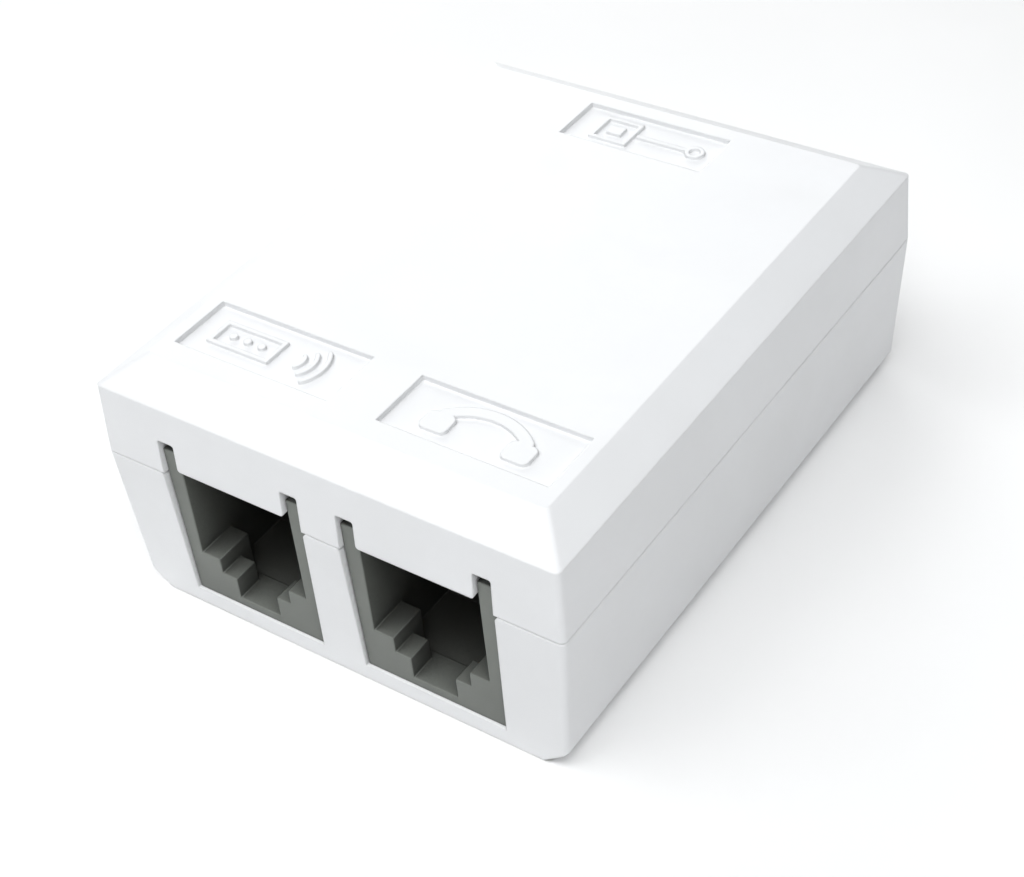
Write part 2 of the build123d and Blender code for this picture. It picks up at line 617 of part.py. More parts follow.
for number, y in enumerate(FILM_Y, 1):
    with BuildPart() as film_capacitor:
        with BuildSketch(Plane.XY.offset(JACK_TOP - STANDOFF - FILM_SIZE[2])):
            with Locations((0, y)):
                Rectangle(FILM_SIZE[0], FILM_SIZE[1])
        extrude(amount=FILM_SIZE[2])
        fillet(film_capacitor.edges().filter_by(Axis.Z), FILM_CORNER_RADIUS)
    finish(film_capacitor, f"film_capacitor_{number}")

with BuildPart() as disc_capacitor:
    with BuildSketch(Plane(origin=(*DISC_CENTRE, DISC_HEIGHT), x_dir=(1, 0, 0), z_dir=(0, -1, 0))):
        Circle(DISC_RADIUS)
    extrude(amount=DISC_THICKNESS / 2, both=True)
    fillet(disc_capacitor.edges(), DISC_EDGE_RADIUS)
finish(disc_capacitor, "disc_capacitor")

RESISTOR_HEIGHT = JACK_TOP - RESISTOR_DROP
END_CAP_LENGTH = RESISTOR_LENGTH / 4

for number, y in enumerate(RESISTOR_Y, 1):
    with BuildPart() as resistor:
        with BuildSketch(Plane(origin=(RESISTOR_X, y, RESISTOR_HEIGHT), z_dir=(1, 0, 0))):
            Circle(RESISTOR_WAIST_RADIUS)
        extrude(amount=RESISTOR_LENGTH / 2, both=True)
        for side in (-1, 1):
            cap_x = RESISTOR_X + side * (RESISTOR_LENGTH - END_CAP_LENGTH) / 2
            with BuildSketch(Plane(origin=(cap_x, y, RESISTOR_HEIGHT), z_dir=(1, 0, 0))):
                Circle(RESISTOR_END_RADIUS)
            extrude(amount=END_CAP_LENGTH / 2, both=True)
    finish(resistor, f"resistor_{number}")

with BuildPart() as component_leads:
    with BuildSketch(Plane.XY.offset(JACK_TOP - STANDOFF)):
        with Locations(*FILM_LEADS):
            Circle(LEAD_RADIUS)
    extrude(amount=LEAD_END - JACK_TOP + STANDOFF)
    for x, y in DISC_LEADS:
        start_x = DISC_CENTRE[0] + (x - DISC_CENTRE[0]) * DISC_LEAD_START[0]
        start_height = DISC_HEIGHT + DISC_RADIUS * DISC_LEAD_START[1]
        with BuildLine() as path:
            Polyline((start_x, y, start_height), (x, y, JACK_TOP), (x, y, LEAD_END))
        with BuildSketch(Plane(origin=path.wires()[0] @ 0, z_dir=path.wires()[0] % 0)):
            Circle(LEAD_RADIUS)
        sweep(transition=Transition.ROUND)
    for x, y in RESISTOR_LEADS:
        body_end = RESISTOR_X + math.copysign(RESISTOR_LENGTH / 2, x - RESISTOR_X)
        with BuildLine() as path:
            Polyline((body_end, y, RESISTOR_HEIGHT), (x, y, RESISTOR_HEIGHT), (x, y, LEAD_END))
        with BuildSketch(Plane(origin=path.wires()[0] @ 0, z_dir=path.wires()[0] % 0)):
            Circle(LEAD_RADIUS)
        sweep(transition=Transition.ROUND)
finish(component_leads, "component_leads")
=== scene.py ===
"""Looks of the telephone line splitter box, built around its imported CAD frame.

Everything is in metres in the frame's own axes: +X to the right of the front sockets,
+Y from the front face to the back face and +Z up. The origin is under the middle.
"""

import math
import random

import bmesh
import bpy
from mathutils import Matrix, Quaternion, Vector, noise


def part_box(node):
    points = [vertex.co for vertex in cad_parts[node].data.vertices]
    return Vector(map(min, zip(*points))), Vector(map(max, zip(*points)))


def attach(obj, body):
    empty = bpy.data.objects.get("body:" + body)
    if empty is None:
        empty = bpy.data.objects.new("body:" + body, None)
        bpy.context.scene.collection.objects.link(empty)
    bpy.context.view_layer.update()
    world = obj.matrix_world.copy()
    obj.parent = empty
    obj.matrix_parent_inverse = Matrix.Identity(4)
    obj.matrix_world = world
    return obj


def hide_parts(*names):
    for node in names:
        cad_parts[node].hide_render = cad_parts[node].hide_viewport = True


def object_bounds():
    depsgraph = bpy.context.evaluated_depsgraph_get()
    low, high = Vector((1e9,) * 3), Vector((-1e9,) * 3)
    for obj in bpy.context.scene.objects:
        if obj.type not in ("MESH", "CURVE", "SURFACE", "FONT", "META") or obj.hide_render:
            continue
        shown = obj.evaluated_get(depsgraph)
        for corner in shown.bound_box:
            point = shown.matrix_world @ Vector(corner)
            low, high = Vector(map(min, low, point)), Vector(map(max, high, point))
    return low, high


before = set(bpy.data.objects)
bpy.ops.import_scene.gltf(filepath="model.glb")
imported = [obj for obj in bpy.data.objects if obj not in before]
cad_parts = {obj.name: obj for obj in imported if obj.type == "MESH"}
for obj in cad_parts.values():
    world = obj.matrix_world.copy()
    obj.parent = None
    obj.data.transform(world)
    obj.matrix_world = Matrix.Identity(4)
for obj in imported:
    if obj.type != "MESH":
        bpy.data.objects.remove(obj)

CAD_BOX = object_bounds()
MM = 0.001
UP = Vector((0, 0, 1))
RANDOM_SEED = 7

# Camera: where it looks from, and the point of the box that it looks at
CAMERA_AZIMUTH = 37.84
CAMERA_ELEVATION = 40.54
CAMERA_ROLL = -6.047
CAMERA_AIM = Vector((3.371, -7.344, 10.0)) * MM
CAMERA_DISTANCE = 143.1 * MM
CAMERA_LENS = 67.5
CAMERA_SENSOR = 36.0
CAMERA_CLIP = (5 * MM, 10.0)

# Floor, dark surroundings, and soft boxes by their azimuth, elevation and power in watts
FLOOR_SIDE = 3.0
SKY_COLOUR = (1.0, 1.0, 1.0)
SKY_STRENGTH = 0.0
LIGHT_SIDE = 0.45
LIGHT_DISTANCE = 0.6
LIGHT_COLOUR = (0.985, 0.995, 1.0)
LIGHTS = {
    "rear_left": (-135, 15, 2.22),
    "front_left": (-45, 60, 1.99),
    "front_right": (45, 60, 3.15),
}

# Rays per point for crevices and rounded normals
SHADER_SAMPLES = 6

# Rounding of the edges of the moulded and cut pieces, as (width, segments)
JACK_ROUNDING = (0.10 * MM, 2)
SMALL_ROUNDING = (0.05 * MM, 2)
ROUNDED_ABOVE = math.radians(24)
MERGED_BELOW = math.radians(1)
WELD_DISTANCE = 0.001 * MM
CORNER_POINTS = 6

# Coils of the chokes: enamelled wire, the corners of the winding, the bobbin's tube,
# and how deep the layers beneath start, in radii of the wire
COIL_WIRE = 0.28 * MM
COIL_CORNER = 1.2 * MM
COIL_SLACK = 0.012
COIL_LAYER = 1.6
COIL_TUBE = (3.82 * MM, 6.12 * MM)
COIL_TUBE_CORNER = 0.1 * MM

# Dipped capacitors: powers of a rounded box and a lens, cuts of their cubes, and waves
BOX_POWER = 5.0
BOX_CUTS = 11
DISC_POWER = 2.4
DISC_CUTS = 15
DIP_WAVES = 0.025
DIP_WAVE_RATE = 1.7

# Resin run down a lead, as (depth in shares of the collar's, radius in mm)
COLLAR_DEPTH = 0.5 * MM
COLLAR_PROFILE = ((0.0, 0.75), (0.5, 0.60), (0.9, 0.42), (1.2, 0.33), (1.5, 0.28))
COLLAR_SIDES = 16

# Resistor bodies, in shares of half their length and of their end radius
RESISTOR_STEPS = 48
RESISTOR_SIDES = 40
RESISTOR_WAIST = 0.83
RESISTOR_SWELL = (0.42, 0.62)
RESISTOR_TIP = 0.88

# Colour bands of the resistors, by their offset in mm from the middle
BANDS = {
    -2.15: (0.20, 0.055, 0.02),
    -0.75: (0.015, 0.015, 0.016),
    0.15: (0.50, 0.03, 0.02),
    2.15: (0.42, 0.27, 0.06),
}
BAND_HALF_WIDTH = 0.26 * MM
BAND_BLUR = 0.05 * MM
BAND_WOBBLE = 0.04 * MM

# Tracks on the solder side, as corners (x, y) in mm between the joints they join.
# They take turns at a few heights, so that no two that meet share their top face.
TRACK_WIDTH = 0.9 * MM
TRACK_HEIGHT = 0.04 * MM
TRACK_LEVELS = 3
TRACK_STEP = 0.1
TRACK_SLOPE = 0.12
PAD_RADIUS = 1.05 * MM
PAD_HEIGHT = TRACK_HEIGHT * 1.4
PAD_SIDES = 28
PIN_HOLE = 0.5 * MM
TRACKS = (
    ((-2.5, -5.3), (-4.55, -5.3), (-5.55, -4.3)),
    ((2.5, -5.3), (4.55, -5.3), (5.55, -4.3)),
    ((-2.5, 5.3), (-4.55, 5.3), (-5.55, 4.3)),
    ((2.5, 5.3), (4.55, 5.3), (5.55, 4.3)),
    ((-2.5, -5.3), (-2.5, 0.0), (-2.5, 5.3)),
    ((2.5, -5.3), (2.5, 0.0), (2.5, 5.3)),
    ((-13.05, 4.3), (-13.05, 6.8), (-15.9, 9.65), (-15.9, 12.2), (-15.9, 16.4)),
    ((-6.9, 12.2), (-6.9, 16.4)),
    ((13.05, 4.3), (13.05, 10.6), (13.9, 11.45), (13.9, 13.2)),
    ((-13.05, -4.3), (-13.05, -10.4), (-11.6, -11.85)),
    ((13.05, -4.3), (13.05, -10.4), (11.6, -11.85)),
)

# Solder fillets, with the shares of the CAD joint's reach and height that they take
SOLDER_STEPS = 10
SOLDER_LIP = 0.04 * MM
SOLDER_HOLLOW = 2.3
SOLDER_REACH = (0.9, 1.0)
SOLDER_RISE = (0.8, 1.0)


# ---------------------------------------------------------------- materials


class Look:
    """A procedural material: the helpers add nodes and return their output sockets."""

    def __init__(self, name, roughness=0.5, metallic=0.0, specular=0.5):
        self.material = bpy.data.materials.new(name)
        self.material.use_nodes = True
        self.nodes = self.material.node_tree.nodes
        self.links = self.material.node_tree.links
        self.shader = self.nodes["Principled BSDF"]
        self.shader.inputs["Roughness"].default_value = roughness
        self.shader.inputs["Metallic"].default_value = metallic
        self.shader.inputs["Specular IOR Level"].default_value = specular
        self.place = self.nodes.new("ShaderNodeTexCoord").outputs["Object"]

    def feed(self, target, value):
        """Link a socket to a target, or set the target when the value is a constant."""
        if isinstance(value, bpy.types.NodeSocket):
            self.links.new(value, target)
        else:
            target.default_value = value

    def stretch(self, x, y, z):
        """The place in the frame, scaled along each axis."""
        node = self.nodes.new("ShaderNodeMapping")
        node.inputs["Scale"].default_value = (x, y, z)
        self.links.new(self.place, node.inputs["Vector"])
        return node.outputs["Vector"]

    def noise(self, size, detail=2.0, roughness=0.5, distortion=0.0, place=None):
        """Smooth noise whose features are about `size` metres across, from 0 to 1."""
        node = self.nodes.new("ShaderNodeTexNoise")
        node.inputs["Scale"].default_value = 1 / size
        node.inputs["Detail"].default_value = detail
        node.inputs["Roughness"].default_value = roughness
        node.inputs["Distortion"].default_value = distortion
        self.links.new(place or self.place, node.inputs["Vector"])
        return node.outputs["Fac"]

    def cells(self, size):
        """Distance to the nearest of scattered points about `size` metres apart."""
        node = self.nodes.new("ShaderNodeTexVoronoi")
        node.inputs["Scale"].default_value = 1 / size
        self.links.new(self.place, node.inputs["Vector"])
        return node.outputs["Distance"]

    def spread(self, noise, start=0.0, end=1.0):
        """Spread the usual values of a noise, 0.3 to 0.7, over the span start..end."""
        return self.ramp(noise, 0.3, 0.7, start, end)

    def ramp(self, value, low, high, start=0.0, end=1.0):
        """Map value from the span low..high to the span start..end, held at its ends."""
        node = self.nodes.new("ShaderNodeMapRange")
        self.feed(node.inputs["Value"], value)
        node.inputs["From Min"].default_value = low
        node.inputs["From Max"].default_value = high
        node.inputs["To Min"].default_value = start
        node.inputs["To Max"].default_value = end
        return node.outputs["Result"]

    def math(self, operation, first, second=0.0):
        """Result of a Math node, whose operands are sockets or numbers."""
        node = self.nodes.new("ShaderNodeMath")
        node.operation = operation
        self.feed(node.inputs[0], first)
        self.feed(node.inputs[1], second)
        return node.outputs["Value"]

    def times(self, first, second):
        """Product of two sockets, or of a socket and a number."""
        return self.math("MULTIPLY", first, second)

    def mix(self, share, first, second):
        """Colour between first and second, each a socket or three numbers."""
        node = self.nodes.new("ShaderNodeMix")
        node.data_type = "RGBA"
        colour_sockets = node.inputs[6:8]
        self.feed(node.inputs["Factor"], share)
        for socket, value in zip(colour_sockets, (first, second)):
            self.feed(socket, value if isinstance(value, bpy.types.NodeSocket) else (*value, 1))
        return node.outputs[2]

    def component(self, vector, axis):
        """The X, Y or Z of a vector socket."""
        split = self.nodes.new("ShaderNodeSeparateXYZ")
        self.links.new(vector, split.inputs["Vector"])
        return split.outputs[axis]

    def facing(self, axis):
        """How far the surface faces along +X, +Y or +Z of its own frame, from -1 to 1."""
        return self.component(self.nodes.new("ShaderNodeTexCoord").outputs["Normal"], axis)

    def crevice(self, reach):
        """1 deep in corners and gaps, 0 on open surfaces: ambient occlusion, the mask of painted
        shade.
        """
        node = self.nodes.new("ShaderNodeAmbientOcclusion")
        node.samples = SHADER_SAMPLES
        node.inputs["Distance"].default_value = reach
        return self.math("SUBTRACT", 1.0, node.outputs["AO"])

    def rounded(self, reach):
        """Normal that turns smoothly over the edges, `reach` metres to either side."""
        bevel = self.nodes.new("ShaderNodeBevel")
        bevel.samples = SHADER_SAMPLES
        bevel.inputs["Radius"].default_value = reach
        return bevel.outputs["Normal"]

    def edge(self, rounded):
        """1 along the rounded edges, 0 on flat surfaces."""
        geometry = self.nodes.new("ShaderNodeNewGeometry")
        dot = self.nodes.new("ShaderNodeVectorMath")
        dot.operation = "DOT_PRODUCT"
        self.links.new(rounded, dot.inputs[0])
        self.links.new(geometry.outputs["Normal"], dot.inputs[1])
        return self.ramp(dot.outputs["Value"], 0.97, 0.75)

    def bump(self, height, depth, strength, under=None):
        """Normal of a relief that is `depth` metres deep, laid over another one."""
        node = self.nodes.new("ShaderNodeBump")
        node.inputs["Strength"].default_value = strength
        node.inputs["Distance"].default_value = depth
        self.links.new(height, node.inputs["Height"])
        if under is not None:
            self.links.new(under, node.inputs["Normal"])
        return node.outputs["Normal"]

    def finish(self, colour, roughness=None, normal=None):
        """Feed the shader and return the material."""
        self.feed(self.shader.inputs["Base Color"], colour)
        if roughness is not None:
            self.feed(self.shader.inputs["Roughness"], roughness)
        if normal is not None:
            self.links.new(normal, self.shader.inputs["Normal"])
        return self.material


def moulded(
    name, colour, shade, grime_and_shade, light, gloss, grain, rounding, dirt_and_shade=0.6, depth=0.0, specular=0.5
):
    """Injection-moulded plastic: spark-eroded grain, faint flow, scuffs, and worn edges painted
    lighter, partly as a painted highlight.

    Corners darken, by the given share, with patchy smudges and painted shade, and `depth` is how
    dark the painted shade in deep hollows gets.
    """
    look = Look(name, specular=specular)
    flow = look.noise(11 * MM, 3, 0.55, 0.6)
    mottle = look.ramp(look.noise(0.9 * MM, 2), 0.35, 0.75, 0.0, 0.25)
    tone = look.mix(look.spread(flow), colour, shade)
    tone = look.mix(mottle, tone, shade)
    # Painted shade in corners, made patchy by noise so that it reads partly as smudges.
    patches = look.ramp(look.noise(2.2 * MM, 4), 0.3, 0.8, dirt_and_shade / 4, dirt_and_shade)
    tone = look.mix(look.times(look.crevice(0.5 * MM), patches), tone, grime_and_shade)
    # Painted shade deep in recesses, such as the insides of the sockets.
    if depth:
        painted_hollow_shade = look.ramp(look.crevice(14 * MM), 0.42, 0.78)
        tone = look.mix(look.times(painted_hollow_shade, depth), tone, grime_and_shade)
    smooth = look.rounded(rounding)
    # Edges painted lighter, partly worn plastic and partly a painted highlight. They are also a
    # little glossier.
    edge_patches = look.ramp(look.noise(1.6 * MM, 3), 0.35, 0.65, 0.1, 0.7)
    worn_and_highlit_edges = look.times(look.edge(smooth), edge_patches)
    tone = look.mix(worn_and_highlit_edges, tone, light)
    lines = look.noise(0.5 * MM, 5, 0.65, place=look.stretch(0.12, 1.0, 0.6))
    scratches = look.ramp(lines, 0.62, 0.70)
    scuffs = look.times(scratches, look.ramp(look.noise(7 * MM, 2), 0.5, 0.7))
    rough = look.spread(look.noise(3 * MM, 4), gloss - 0.05, gloss + 0.05)
    rough = look.math("ADD", rough, look.times(scuffs, 0.12))
    rough = look.math("SUBTRACT", rough, look.times(worn_and_highlit_edges, 0.10))
    fine = look.bump(look.noise(grain, 3, 0.6), 0.012 * MM, 0.55, under=smooth)
    wavy = look.bump(look.noise(6 * MM, 1), 0.06 * MM, 0.35, under=fine)
    return look.finish(tone, rough, wavy)


def metal(name, colour, shade, gloss, relief, coat=0.0):
    """Plated, tinned or enamelled metal: cloudy patches, fine relief, and painted shade in crevices.
    """
    look = Look(name, metallic=1.0)
    look.shader.inputs["Coat Weight"].default_value = coat
    clouds = look.noise(0.8 * MM, 4, 0.6, 0.3)
    tone = look.mix(look.ramp(clouds, 0.35, 0.75), colour, shade)
    # Painted shade: crevices darkened towards the second colour.
    tone = look.mix(look.times(look.crevice(0.3 * MM), 0.45), tone, shade)
    rough = look.spread(look.noise(0.35 * MM, 3), gloss - 0.07, gloss + 0.1)
    normal = look.bump(look.noise(0.09 * MM, 3), relief, 0.5)
    return look.finish(tone, rough, normal)


def board_look(name, thin, thick):
    """Paper laminate: tan and fibrous below and on its edges, under a solder mask on top."""
    look = Look(name, roughness=0.45)
    fibres = look.noise(0.35 * MM, 4, 0.7, place=look.stretch(0.25, 1.0, 1.0))
    specks = look.ramp(look.cells(0.5 * MM), 0.06, 0.12, 0.35, 0.0)
    laminate = look.mix(look.spread(fibres), (0.46, 0.26, 0.10), (0.60, 0.38, 0.17))
    laminate = look.mix(specks, laminate, (0.22, 0.11, 0.04))
    mask = look.mix(look.spread(look.noise(1.8 * MM, 3)), thick, thin)
    upper = look.ramp(look.facing("Z"), 0.05, 0.15)
    tone = look.mix(upper, laminate, mask)
    # Painted shade in the corners round the parts and joints.
    tone = look.mix(look.times(look.crevice(0.5 * MM), 0.4), tone, (0.10, 0.07, 0.03))
    rough = look.spread(look.noise(2 * MM, 3), 0.30, 0.48)
    normal = look.bump(fibres, 0.02 * MM, 0.4)
    return look.finish(tone, rough, normal)


def ferrite_look(name):
    """Sintered ferrite: near black, speckled, with small pits and chipped edges."""
    look = Look(name, roughness=0.55)
    grains = look.ramp(look.cells(0.12 * MM), 0.1, 0.7)
    tone = look.mix(grains, (0.020, 0.020, 0.022), (0.050, 0.048, 0.048))
    smooth = look.rounded(0.1 * MM)
    tone = look.mix(look.times(look.edge(smooth), 0.5), tone, (0.16, 0.155, 0.15))
    pits = look.ramp(look.noise(0.22 * MM, 3), 0.28, 0.4)
    rough = look.spread(look.noise(0.9 * MM, 3), 0.42, 0.68)
    return look.finish(tone, rough, look.bump(pits, 0.03 * MM, 0.6, under=smooth))


def paint_bands(look, tone):
    """Colour bands with ragged edges round the resistors, which lie along X."""
    low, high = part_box("resistor_1")
    ragged = look.spread(look.noise(0.25 * MM, 2), -BAND_WOBBLE, BAND_WOBBLE)
    along = look.math("SUBTRACT", look.component(look.place, "X"), (low.x + high.x) / 2)
    along = look.math("ADD", along, ragged)
    for offset, band in BANDS.items():
        distance = look.math("ABSOLUTE", look.math("SUBTRACT", along, offset * MM))
        share = look.ramp(distance, BAND_HALF_WIDTH, BAND_HALF_WIDTH + BAND_BLUR, 1.0, 0.0)
        tone = look.mix(share, tone, band)
    return tone


def coated(name, colour, shade, gloss, coat, relief, banded=False):
    """Dipped or lacquered coating of a component: glossy, with runs and colour bands."""
    look = Look(name, roughness=gloss)
    look.shader.inputs["Coat Weight"].default_value = coat
    look.shader.inputs["Coat Roughness"].default_value = 0.12
    runs = look.noise(1.3 * MM, 3, 0.5, 0.8)
    tone = look.mix(look.spread(runs), colour, shade)
    if banded:
        tone = paint_bands(look, tone)
    # Painted shade: crevices darkened to a dim copy of the second colour.
    dark = tuple(channel * 0.4 for channel in shade)
    tone = look.mix(look.times(look.crevice(0.4 * MM), 0.5), tone, dark)
    rough = look.spread(look.noise(0.6 * MM, 3), gloss - 0.06, gloss + 0.08)
    normal = look.bump(look.noise(0.5 * MM, 2), relief, 0.5)
    return look.finish(tone, rough, normal)


def floor_look(name):
    """Matt white paper, with a painted contact shadow in the narrow space round whatever stands on
    it.
    """
    look = Look(name, roughness=0.7, specular=0.2)
    clouds = look.spread(look.noise(40 * MM, 3))
    tone = look.mix(clouds, (0.86, 0.86, 0.86), (0.89, 0.89, 0.89))
    # Painted contact shadow round the foot of the box.
    contact_shadow = look.ramp(look.crevice(0.5 * MM), 0.25, 0.6, 0.0, 0.6)
    tone = look.mix(contact_shadow, tone, (0.30, 0.29, 0.28))
    fine = look.bump(look.noise(0.4 * MM, 3), 0.02 * MM, 0.3)
    return look.finish(tone, normal=fine)


LOOKS = {
    # Case plastic: its corner colour is painted shade with some smudging, and its edge colour is
    # partly a painted highlight.
    "case_plastic": moulded(
        "case_plastic",
        colour=(0.80, 0.808, 0.822),
        shade=(0.77, 0.777, 0.788),
        grime_and_shade=(0.42, 0.38, 0.32),
        light=(0.88, 0.88, 0.88),
        gloss=0.40,
        grain=0.16 * MM,
        rounding=0.20 * MM,
        dirt_and_shade=0.15,
    ),
    # Jack plastic: its near-black corner colour is painted shade in corners and, by depth, deep in
    # the sockets. Its edge colour is partly a painted highlight.
    "jack_plastic": moulded(
        "jack_plastic",
        colour=(0.185, 0.198, 0.180),
        shade=(0.160, 0.170, 0.155),
        grime_and_shade=(0.022, 0.022, 0.020),
        light=(0.34, 0.345, 0.31),
        gloss=0.50,
        grain=0.12 * MM,
        rounding=0.12 * MM,
        dirt_and_shade=0.3,
        depth=0.92,
        specular=0.4,
    ),
    # Bobbin plastic: its corner colour is painted shade with some smudging, and its edge colour is
    # partly a painted highlight.
    "bobbin_plastic": moulded(
        "bobbin_plastic",
        colour=(0.018, 0.018, 0.018),
        shade=(0.026, 0.025, 0.024),
        grime_and_shade=(0.01, 0.01, 0.01),
        light=(0.11, 0.11, 0.11),
        gloss=0.38,
        grain=0.12 * MM,
        rounding=0.08 * MM,
    ),
    "contact_metal": metal(
        "contact_metal", (0.83, 0.60, 0.27), (0.62, 0.42, 0.18), gloss=0.26, relief=0.004 * MM
    ),
    "solder": metal(
        "solder", (0.70, 0.70, 0.69), (0.48, 0.48, 0.47), gloss=0.30, relief=0.012 * MM
    ),
    "tinned_wire": metal(
        "tinned_wire", (0.74, 0.73, 0.70), (0.56, 0.54, 0.50), gloss=0.28, relief=0.005 * MM
    ),
    "winding": metal(
        "winding", (0.62, 0.23, 0.07), (0.45, 0.14, 0.035), gloss=0.28, relief=0.004 * MM, coat=0.6
    ),
    "board": board_look("board", thin=(0.022, 0.165, 0.060), thick=(0.015, 0.120, 0.045)),
    "track": board_look("track", thin=(0.075, 0.270, 0.085), thick=(0.050, 0.215, 0.070)),
    "ferrite": ferrite_look("ferrite"),
    "film_case": coated(
        "film_case", (0.34, 0.045, 0.020), (0.25, 0.030, 0.014),
        gloss=0.22, coat=0.5, relief=0.05 * MM,
    ),
    "ceramic_coat": coated(
        "ceramic_coat", (0.56, 0.27, 0.08), (0.45, 0.20, 0.055),
        gloss=0.42, coat=0.1, relief=0.04 * MM,
    ),
    "resistor_coat": coated(
        "resistor_coat", (0.60, 0.44, 0.25), (0.52, 0.36, 0.19),
        gloss=0.32, coat=0.3, relief=0.03 * MM, banded=True,
    ),
}

SLOTS = {
    "bottom_shell": "case_plastic",
    "top_cover": "case_plastic",
    "circuit_board": "board",
    "solder_joints": "solder",
    "choke_pins": "tinned_wire",
    "component_leads": "tinned_wire",
    "disc_capacitor": "ceramic_coat",
}
for socket_name in ("modem", "phone", "line"):
    SLOTS[f"{socket_name}_jack_housing"] = "jack_plastic"
    SLOTS[f"{socket_name}_contact_tails"] = "contact_metal"
    SLOTS[f"{socket_name}_contact_springs"] = "contact_metal"
for choke_name in ("first", "second"):
    SLOTS[f"{choke_name}_choke_core"] = "ferrite"
    SLOTS[f"{choke_name}_choke_bobbin"] = "bobbin_plastic"
    SLOTS[f"{choke_name}_choke_winding"] = "winding"
for number in (1, 2, 3):
    SLOTS[f"film_capacitor_{number}"] = "film_case"
for number in (1, 2):
    SLOTS[f"resistor_{number}"] = "resistor_coat"

ROUNDINGS = {
    "jack_plastic": JACK_ROUNDING,
    "bobbin_plastic": SMALL_ROUNDING,
    "ferrite": SMALL_ROUNDING,
}


# ---------------------------------------------------------------- CAD nodes


def smooth_welded_group():
    """Modifier group that joins the split corners of a mesh and shades it smooth."""
    group = bpy.data.node_groups.new("weld_smooth", "GeometryNodeTree")
    group.interface.new_socket("Geometry", in_out="INPUT", socket_type="NodeSocketGeometry")
    group.interface.new_socket("Geometry", in_out="OUTPUT", socket_type="NodeSocketGeometry")
    start = group.nodes.new("NodeGroupInput")
    merge = group.nodes.new("GeometryNodeMergeByDistance")
    merge.inputs["Distance"].default_value = WELD_DISTANCE
    smooth = group.nodes.new("GeometryNodeSetShadeSmooth")
    end = group.nodes.new("NodeGroupOutput")
    group.links.new(start.outputs[0], merge.inputs["Geometry"])
    group.links.new(merge.outputs["Geometry"], smooth.inputs["Geometry"])
    group.links.new(smooth.outputs["Geometry"], end.inputs[0])
    return group


def round_edges(piece, group, width, segments):
    """Round the sharp edges of a moulded piece, and keep its flats flat."""
    welded = piece.modifiers.new("weld", "NODES")
    welded.node_group = group
    flat = piece.modifiers.new("plain_faces", "DECIMATE")
    flat.decimate_type = "DISSOLVE"
    flat.angle_limit = MERGED_BELOW
    bevel = piece.modifiers.new("edges", "BEVEL")
    bevel.width = width
    bevel.segments = segments
    bevel.limit_method = "ANGLE"
    bevel.angle_limit = ROUNDED_ABOVE
    bevel.use_clamp_overlap = False
    bevel.loop_slide = True
    flats = piece.modifiers.new("flats", "WEIGHTED_NORMAL")
    flats.weight = 100
    flats.keep_sharp = False


def dress_nodes():
    """Give every CAD node its material and the rounded edges of its kind."""
    group = smooth_welded_group()
    for name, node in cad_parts.items():
        slot = SLOTS[name]
        node.data.materials.clear()
        node.data.materials.append(LOOKS[slot])
        if slot in ROUNDINGS:
            round_edges(node, group, *ROUNDINGS[slot])


# ---------------------------------------------------------------- own pieces


def bridge(bm, rings, closed=False):
    """Skin over rings of points that have the same count, capped at both ends or closed."""
    loops = [[bm.verts.new(point) for point in ring] for ring in rings]
    pairs = list(zip(loops, loops[1:]))
    if closed:
        pairs.append((loops[-1], loops[0]))
    else:
        bm.faces.new(loops[0])
        bm.faces.new(loops[-1])
    for first, second in pairs:
        for index in range(len(first)):
            after = (index + 1) % len(first)
            bm.faces.new((first[index], first[after], second[after], second[index]))


def circle(centre, right, up, radius, sides):
    """Points of a circle in the plane of two unit vectors."""
    angles = [2 * math.pi * index / sides for index in range(sides)]
    return [centre + radius * (math.cos(a) * right + math.sin(a) * up) for a in angles]


def add_tube(bm, path, radius, sides=8):
    """Round wire along a path."""
    rings = []
    right = (path[1] - path[0]).orthogonal().normalized()
    for index, point in enumerate(path):
        ahead = (path[min(index + 1, len(path) - 1)] - path[max(index - 1, 0)]).normalized()
        right = (right - ahead * right.dot(ahead)).normalized()
        rings.append(circle(point, right, ahead.cross(right), radius, sides))
    bridge(bm, rings)


def add_lathe(bm, centre, axis, profile, closed=False, sides=24):
    """Turned shape whose profile is a list of (distance along the axis, radius)."""
    right = axis.orthogonal().normalized()
    up = axis.cross(right)
    rings = [circle(centre + axis * along, right, up, radius, sides) for along, radius in profile]
    bridge(bm, rings, closed)


def rounded_rectangle(half_width, half_height, corner):
    """Points (across, up) round a rectangle with rounded corners."""
    points = []
    for quarter, (side, top) in enumerate(((1, 1), (-1, 1), (-1, -1), (1, -1))):
        for index in range(CORNER_POINTS):
            angle = math.pi / 2 * (quarter + index / (CORNER_POINTS - 1))
            across = side * (half_width - corner) + corner * math.cos(angle)
            points.append((across, top * (half_height - corner) + corner * math.sin(angle)))
    return points


def add_piece(name, bm, slot, *nodes, look=None):
    """Turn a finished mesh into a piece of the base, which stands for any CAD nodes named."""
    bmesh.ops.recalc_face_normals(bm, faces=bm.faces)
    mesh = bpy.data.meshes.new(name)
    bm.to_mesh(mesh)
    bm.free()
    mesh.polygons.foreach_set("use_smooth", [True] * len(mesh.polygons))
    mesh.materials.append(LOOKS[look or slot])
    piece = bpy.data.objects.new(name, mesh)
    bpy.context.scene.collection.objects.link(piece)
    if nodes:
        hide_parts(*nodes)
    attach(piece, "base")
    return piece


